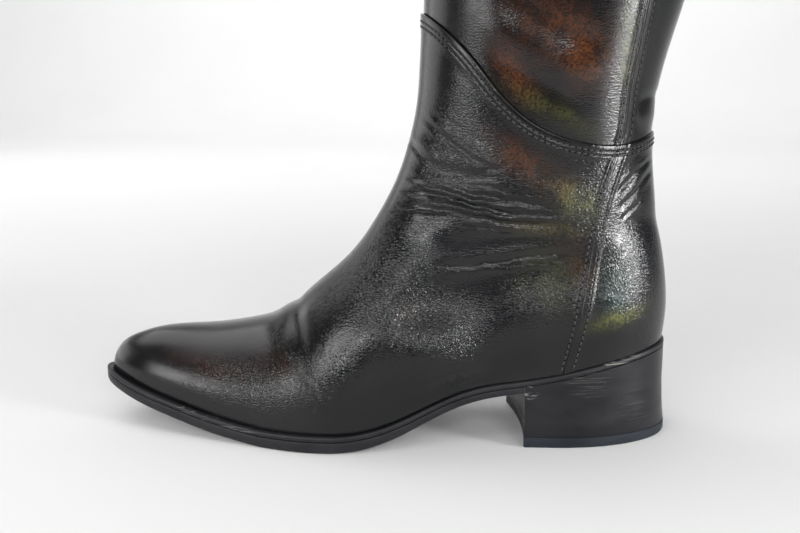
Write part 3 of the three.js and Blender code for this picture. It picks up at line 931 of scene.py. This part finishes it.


# Painted shade: a near-black finish with no reflection stands for the darkness inside each needle hole.
def painted_hole_shade_finish():
    n = Nodes("painted_hole_shade", Roughness=1.0, Specular_IOR_Level=0.0)
    n.link(n.mix(n.noise(1.0, 1), rgb(0.0005, 0.0005, 0.0005), rgb(0.002, 0.002, 0.002)), "Base Color")
    return n.material


def sole_finish(name, dark, pale, rough_low, rough_high, scuffs=()):
    """Satin black rubber or lacquered stack: faint lines along the edge, dust and scuffs."""
    n = Nodes(name, IOR=1.36)
    cloud = n.noise((0.05, 0.05, 0.12), 4)
    base = n.mix(n.span(cloud, 0.3, 0.7), rgb(*dark), rgb(*pale))
    lines = n.noise((0.04, 0.04, 1.1), 3, 0.5)
    scratch = n.span(n.noise((0.07, 0.07, 2.0), 3, 0.5, 4), 0.70, 0.80)
    base = n.mix(n.math("MULTIPLY", scratch, 0.05), base, rgb(0.30, 0.29, 0.27))
    speck = n.span(n.noise(0.5, 2), 0.77, 0.82)
    base = n.mix(n.math("MULTIPLY", speck, 0.3), base, rgb(0.45, 0.43, 0.38))
    for centre, radius, strength, scale, lean in scuffs:
        streak = n.span(n.noise(scale, 4, 0.6, lean), 0.54, 0.68)
        share = n.math("MULTIPLY", n.math("MULTIPLY", streak, n.near(centre, radius)), strength)
        base = n.mix(share, base, rgb(0.42, 0.41, 0.37))
    n.link(base, "Base Color")
    n.link(n.math("ADD", n.span(cloud, 0.3, 0.7, rough_low, rough_high), n.math("MULTIPLY", lines, 0.04)),
           "Roughness")
    normal = n.bump(lines, 0.03, 0.6)
    normal = n.bump(n.noise(0.9, 2), 0.04, 0.5, normal)
    n.link(normal, "Normal")
    return n.material


# -------- Upper and shaft

upper_leather = leather("upper_leather", True)
shaft_leather = leather("shaft_leather", False)
lining_leather = lining()
thread_black = thread()
painted_hole_shade = painted_hole_shade_finish()

upper_share = crowded(UPPER_ROWS, 0.5, 0.88, 1.0)
upper_lines = lower_edge, seam_line, ridge, counter_line
upper_sides = [patch(*upper_lines, station(steps), upper_share) for steps in UPPER_STEPS]
upper = shell("upper_leather_shell", upper_sides, upper_height, UPPER_WALL, 0.0, True, thin_top=1.1)
dress(upper, "upper_leather", [upper_leather, lining_leather], "upper")

shaft_share = np.linspace(0, 1, SHAFT_ROWS)
shaft_lines = tuck_line, collar_line, shin, calf_line
shaft_sides = [patch(*shaft_lines, station(steps), shaft_share) for steps in SHAFT_STEPS]
shaft = shell("shaft_leather_shell", shaft_sides, shaft_height, SHAFT_WALL, SHAFT_INSET, False)
dress(shaft, "shaft_leather", [shaft_leather, lining_leather], "shaft")


# -------- Stitches

COLLAR_ROW = 4.0  # down from the top edge


def seam_row(offset, outer):
    """A row under the curved seam, offset down from its edge."""
    t = station(300)[4:-4]
    x, z = seam_line(t)
    dx, dz = np.gradient(x), np.gradient(z)
    length = np.hypot(dx, dz)
    px, pz = x + dz / length * offset, z - dx / length * offset
    keep = (px > ridge_front(pz) + 0.05) & (px < back_line(pz) - 0.05)
    return surface_frame(px[keep], pz[keep], outer, upper_height, 0.0)


def side_row(low, high, offset, outer, height, inset):
    z = np.linspace(low, high, 240)
    return surface_frame(side_seam(z) + offset, z, outer, height, inset)


def collar_row(outer):
    x = lerp(float(shin(1.0)[0]), float(back_line(SHAFT_TOP)), station(240)[3:-3])
    return surface_frame(x, np.full(x.shape, SHAFT_TOP - COLLAR_ROW), outer, shaft_height, SHAFT_INSET)


upper_rows, shaft_rows = [], []
for is_outer in (True, False):
    for down in STITCH_ROWS:
        upper_rows.append(spaced(*seam_row(down, is_outer)))
    for off in (-SEAM_ROWS, SEAM_ROWS):
        welt_end = float(seat(side_seam(36.0) + off)) + 1.5
        seam_end = float(np.interp(side_seam(140.0) + off, seam_x, seam_z))
        upper_rows.append(spaced(*side_row(
            welt_end, seam_end - FOLD_BAND - 0.5, off, is_outer, upper_height, 0.0)))
        shaft_rows.append(spaced(*side_row(
            seam_end + 1.2, SHAFT_TOP - 1.5, off, is_outer, shaft_height, SHAFT_INSET)))
    shaft_rows.append(spaced(*collar_row(is_outer)))

stitch_mesh("upper_stitches", upper_rows, "upper_leather")
stitch_mesh("shaft_stitches", shaft_rows, "shaft_leather")


# -------- Sole and heel


def outline(offset, steps=600):
    """The upper's lower edge moved out by offset(x): its two ends and y over x for each side."""
    t = station(steps)
    x = lerp(TOE_TIP, seat_back, t)
    half = half_width(x, seat(x))
    half[0] = half[-1] = 0
    xs = np.concatenate([x, x[-2:0:-1]])
    ys = last["centre"](xs) + np.concatenate([-half, half[-2:0:-1]])
    dx, dy = np.roll(xs, -1) - np.roll(xs, 1), np.roll(ys, -1) - np.roll(ys, 1)
    length = np.hypot(dx, dy)
    gx, gy = xs + dy / length * offset(xs), ys - dx / length * offset(xs)
    near_x, near_y = gx[: steps + 1], gy[: steps + 1]
    far_x = np.concatenate([[gx[0]], gx[steps:][::-1]])
    far_y = np.concatenate([[gy[0]], gy[steps:][::-1]])
    near_order, far_order = np.argsort(near_x), np.argsort(far_x)

    def across(at, share):
        low = np.interp(at, near_x[near_order], near_y[near_order])
        high = np.interp(at, far_x[far_order], far_y[far_order])
        return lerp(low, high, share)

    return gx[0], gx[steps], across


def breast(share):
    return BREAST_HOLLOW * 4 * share * (1 - share) + BREAST_SKEW * share


SHARP_EDGE = 38  # degrees


def plate(name, levels):
    """A closed plate from grids of points (rows, columns, 3), the first on top and the last underneath."""
    rows, columns = levels[0].shape[:2]
    size = rows * columns
    rim = [(0, k) for k in range(columns)] + [(i, columns - 1) for i in range(1, rows)]
    rim += [(rows - 1, k) for k in range(columns - 2, -1, -1)] + [(i, 0) for i in range(rows - 2, 0, -1)]
    rim = np.array([i * columns + k for i, k in rim])
    i, k = np.meshgrid(np.arange(rows - 1), np.arange(columns - 1), indexing="ij")
    a = (i * columns + k).ravel()
    top = np.stack([a, a + columns, a + columns + 1, a + 1], axis=-1)
    under = (len(levels) - 1) * size + top[:, ::-1]
    quads = [top, under]
    ahead = np.roll(rim, -1)
    for n in range(len(levels) - 1):
        above, below = n * size, (n + 1) * size
        quads.append(np.stack([above + rim, above + ahead, below + ahead, below + rim], axis=-1))
    points = np.concatenate([level.reshape(-1, 3) for level in levels])
    quads = np.concatenate(quads)
    # merge the points that a pointed end shares, and leave out faces with no area and points with no face
    keys, index = np.unique(np.round(points, 3), axis=0, return_inverse=True)
    index = index.reshape(-1)
    faces = []
    for quad in index[quads]:
        corners = list(dict.fromkeys(quad.tolist()))
        if len(corners) > 2:
            faces.append(corners)
    used = np.unique(np.concatenate([np.array(f) for f in faces]))
    renumber = np.full(len(keys), -1)
    renumber[used] = np.arange(len(used))
    obj = make_mesh(name, keys[used], [renumber[face] for face in faces])
    obj.data.set_sharp_from_angle(angle=math.radians(SHARP_EDGE))
    return obj


SOLE_ROWS = 220
SOLE_COLUMNS = 28
shares = np.linspace(0, 1, SOLE_COLUMNS + 1)


def sole_grid(offset, start, stop, places, z, bend=None):
    """A grid over an outline; bend moves its points along x."""
    tip, back, across = outline(offset)
    first = tip if start is None else start
    final = back if stop is None else stop
    x = lerp(first, final, places)[:, None] * np.ones(SOLE_COLUMNS + 1)
    y = np.stack([across(x[:, 0], s) for s in shares], axis=1)
    if bend is not None:
        x = x + bend(x, shares[None, :])
    return np.stack([x, y, z(x)], axis=-1)


def over(line, rise):
    """A side-view line moved up."""
    return lambda x: line(x) + rise


def level(value):
    """A line with one value all along."""
    return lambda x: 0 * x + value


def ledge(inset):
    """How far the welt's edge stands out from the upper, less an inset."""
    return over(last["ledge"], -inset)


def towards_breast(x, share):
    reach = 40.0
    return clamp01(1 - (BREAST_X - x) / reach) ** 2 * breast(share)


front_places = 1 - np.cos(np.pi / 2 * np.arange(SOLE_ROWS + 1) / SOLE_ROWS)
outsole_end = BREAST_X - 0.1


def under_welt(x):
    """The top of what lies under the welt."""
    return seat(x) - WELT_THICK - JOINT


outsole_levels = [
    (0.5, under_welt),
    (0.15, over(under_welt, -0.25)),
    (0.0, over(under_welt, -0.8)),
    (0.1, over(tread, 1.4)),
    (0.45, over(tread, 0.5)),
    (1.2, over(tread, 0.08)),
    (2.2, tread),
]
outsole = plate("outsole_tread", [
    sole_grid(ledge(inset), None, outsole_end, front_places, z, towards_breast)
    for inset, z in outsole_levels
])
outsole_rubber = sole_finish("outsole_rubber", (0.006, 0.006, 0.008), (0.013, 0.013, 0.016), 0.36, 0.48)
dress(outsole, "outsole", [outsole_rubber], "outsole")

both_places = station(SOLE_ROWS)


def welt_loop(inset, z):
    tip, back, across = outline(ledge(inset))
    x = lerp(tip, back, both_places)
    near = np.stack([x, across(x, 0.0), z(x)], axis=-1)
    far = np.stack([x, across(x, 1.0), z(x)], axis=-1)[-2:0:-1]
    return np.concatenate([near, far])


def welt_under(x):
    return seat(x) - WELT_THICK


welt_loops = [
    welt_loop(6.0, welt_under),
    welt_loop(0.45, welt_under),
    welt_loop(0.1, over(welt_under, 0.2)),
    welt_loop(0.0, over(welt_under, 0.7)),
    welt_loop(0.05, over(seat, -0.75)),
    welt_loop(0.3, over(seat, -0.25)),
    welt_loop(0.8, over(seat, -0.02)),
    welt_loop(1.4, seat),
    welt_loop(6.0, seat),
]
welt = make_mesh("welt_strip", np.concatenate(welt_loops), ring_quads(len(welt_loops), len(welt_loops[0])))
WELT_SCUFFS = [
    ((-178, -30, 8), 26, 0.5, (0.06, 0.06, 1.5), -12),
    ((12, -30, 40), 16, 0.45, (0.08, 0.08, 1.6), 14),
]
welt_rubber = sole_finish(
    "welt_rubber", (0.006, 0.006, 0.008), (0.013, 0.013, 0.015), 0.34, 0.46, WELT_SCUFFS
)
dress(welt, "welt", [welt_rubber], "welt")

back_places = np.sin(np.pi / 2 * np.arange(91) / 90)


def heel_level(inset, shift, z):
    tip, back, across = outline(ledge(inset))
    x = lerp(BREAST_X + inset, back, back_places)[:, None] * np.ones(SOLE_COLUMNS + 1)
    y = np.stack([across(x[:, 0], s) for s in shares], axis=1)
    near = (back - x) / (back - BREAST_X)
    at = x + near**2 * breast(shares[None, :])
    return np.stack([at + shift * (1 - near), y, z(at)], axis=-1)


def heel_stack(levels):
    return [heel_level(inset, shift, z) for inset, shift, z in levels]


LIFT_TOP = LIFT_THICK + JOINT


def heel_between(share):
    """The heel's side is a little hollow between its top and its foot."""
    return lambda x: lerp(under_welt(x), LIFT_TOP, share)


heel = plate("heel_block", heel_stack([
    (0.5, 0.0, under_welt),
    (0.1, 0.0, over(under_welt, -0.4)),
    (0.15, 0.1, heel_between(0.2)),
    (0.35, 0.35, heel_between(0.45)),
    (0.3, 0.9, heel_between(0.75)),
    (0.05, 1.6, level(LIFT_TOP + 0.4)),
    (0.3, 1.7, level(LIFT_TOP)),
]))
HEEL_SCUFFS = [
    ((-31, -34, 27), 5, 0.35, (0.25, 0.25, 0.9), 50),
    ((-4, -35, 33), 14, 0.12, (0.05, 0.05, 1.6), 14),
    ((24, -28, 16), 18, 0.07, (0.05, 0.05, 2.2), -6),
]
heel_lacquer = sole_finish(
    "heel_lacquer", (0.004, 0.004, 0.006), (0.009, 0.009, 0.011), 0.27, 0.38, HEEL_SCUFFS
)
dress(heel, "heel_block", [heel_lacquer], "heel")

top_lift = plate("heel_top_lift", heel_stack([
    (0.35, HEEL_SHIFT, level(LIFT_THICK)),
    (0.0, HEEL_SHIFT, level(LIFT_THICK - 0.4)),
    (0.0, HEEL_SHIFT, level(0.9)),
    (0.3, HEEL_SHIFT, level(0.25)),
    (0.9, HEEL_SHIFT, level(0.0)),
]))
lift_rubber = sole_finish("lift_rubber", (0.006, 0.008, 0.012), (0.013, 0.016, 0.022), 0.45, 0.6)
dress(top_lift, "top_lift", [lift_rubber], "top_lift")

insole = plate("insole_sock", [
    sole_grid(level(-inset), None, None, both_places, over(seat, GAP + rise))
    for inset, rise in ((3.9, 3.2), (3.6, 2.9), (3.6, 0.0))
])
dress(insole, "insole_board", [lining_leather], "insole")


# -------- Floor, light and camera

FLOOR_FRONT = -0.6  # the near floor ends here and the apron goes on


def stage_piece(name, points, faces, material, lights_boot):
    """A stage piece, in metres; one that doesn't light the boot is seen by the camera alone."""
    mesh = bpy.data.meshes.new(name)
    mesh.from_pydata(points, [], faces)
    mesh.polygons.foreach_set("use_smooth", np.ones(len(faces), bool))
    mesh.materials.append(material)
    piece = bpy.data.objects.new(name, mesh)
    bpy.context.scene.collection.objects.link(piece)
    for ray in ("glossy", "diffuse", "transmission", "shadow"):
        setattr(piece, "visible_" + ray, lights_boot)


def sweep(name, start, flat_end, lights_boot, material):
    """A pale strip of floor from start to flat_end that curves up into a wall; lengths in metres."""
    radius, wall, half = 0.9, 2.5, 3.0
    away = 1 if flat_end > start else -1
    profile = [(start, 0.0), (flat_end, 0.0)]
    for a in np.linspace(0.1, math.pi / 2, 14):
        profile.append((flat_end + away * radius * math.sin(a), radius * (1 - math.cos(a))))
    profile.append((flat_end + away * radius, wall))
    points = [(side * half, y, z) for y, z in profile for side in (-away, away)]
    faces = [(2 * i, 2 * i + 1, 2 * i + 3, 2 * i + 2) for i in range(len(profile) - 1)]
    stage_piece(name, points, faces, material, lights_boot)


def make_surround():
    """A pale round wall far outside the floor, which only the camera sees."""
    around, heights, radius = 64, (-0.05, 4.5), 3.4
    points = []
    for z in heights:
        for k in range(around):
            turn = 2 * math.pi * k / around
            points.append((radius * math.cos(turn), radius * math.sin(turn), z))
    faces = [(k, (k + 1) % around, around + (k + 1) % around, around + k) for k in range(around)]
    faces.append(tuple(range(around, 2 * around)))
    n = Nodes("pale_wall", Specular_IOR_Level=0.0, Emission_Strength=1.0, Base_Color=rgb(0, 0, 0))
    haze = n.mix(n.noise(0.0008, 1), rgb(0.80, 0.80, 0.80), rgb(0.88, 0.88, 0.88))
    n.link(haze, "Emission Color")
    stage_piece("surround", points, faces, n.material, False)


def make_floor():
    """A pale floor that sweeps up behind the boot, and an apron in front that casts no light on it."""
    n = Nodes("pale_paper", Roughness=0.7)
    cloud = n.noise(0.004, 2)
    n.link(n.mix(cloud, rgb(0.76, 0.76, 0.755), rgb(0.80, 0.80, 0.795)), "Base Color")
    sweep("floor", FLOOR_FRONT, 1.6, True, n.material)
    sweep("floor_apron", FLOOR_FRONT, -1.9, False, n.material)


BOOT_MIDDLE = Vector((-0.08, 0.0, 0.10))


def add_light(name, heading, height, far, size, glow, aim=None):
    """A soft box of size (width, height) metres, seen from the boot at a heading (0 is the outer side, + is
    towards the heel) and a height in degrees, far metres away; glow is its brightness. It faces the boot, or
    the place at aim."""
    light = bpy.data.lights.new(name, "AREA")
    light.shape = "RECTANGLE"
    light.size, light.size_y = size
    light.energy = glow * math.pi * size[0] * size[1]
    turn, rise = math.radians(heading), math.radians(height)
    ray = Vector((math.sin(turn) * math.cos(rise), -math.cos(turn) * math.cos(rise), math.sin(rise)))
    obj = bpy.data.objects.new(name, light)
    obj.location = BOOT_MIDDLE + ray * far
    facing = -ray if aim is None else Vector(aim) - obj.location
    obj.rotation_euler = facing.to_track_quat("-Z", "Y").to_euler()
    obj.visible_camera = False
    bpy.context.scene.collection.objects.link(obj)


def make_lights():
    world = bpy.data.worlds.new("studio")
    world.use_nodes = True
    background = world.node_tree.nodes["Background"].inputs
    background["Color"].default_value = rgb(0.95, 0.97, 1.0)
    background["Strength"].default_value = 0.18
    bpy.context.scene.world = world
    add_light("overhead", 0, 82, 1.3, (1.7, 1.5), 0.6)
    add_light("left_high", -117, 48, 1.5, (1.15, 0.85), 2.2)
    add_light("left_window", -54, 13, 1.3, (0.42, 0.66), 7.4)
    add_light("left_rear", -113, 9, 1.6, (1.15, 0.7), 1.8)
    add_light("right_lamp", 63, 5, 1.0, (0.24, 0.32), 39)
    add_light("front_wall", -3, 23, 1.6, (2.0, 0.62), 2.9)
    add_light("front_strip", -27, 14, 1.5, (0.34, 0.26), 12.0)
    add_light("front_right", 22, 18, 1.5, (0.34, 0.26), 11.0)
    add_light("backdrop", 180, 62, 1.7, (3.2, 0.8), 5.3, aim=(0.0, 2.5, 1.0))
    bpy.context.scene.view_settings.view_transform = "Standard"


CAMERA_PLACE = (-0.0719, -0.4746, 0.1785)
PITCH = 11.9
HEADING = 2.5


def make_camera():
    camera = bpy.data.cameras.new("camera")
    camera.sensor_width = 36.0
    camera.lens = 45.0
    camera.clip_start = 0.01
    obj = bpy.data.objects.new("camera", camera)
    obj.location = CAMERA_PLACE
    obj.rotation_euler = (math.radians(90 - PITCH), 0.0, math.radians(HEADING))
    bpy.context.scene.collection.objects.link(obj)
    bpy.context.scene.camera = obj


make_floor()
make_surround()
make_lights()
make_camera()
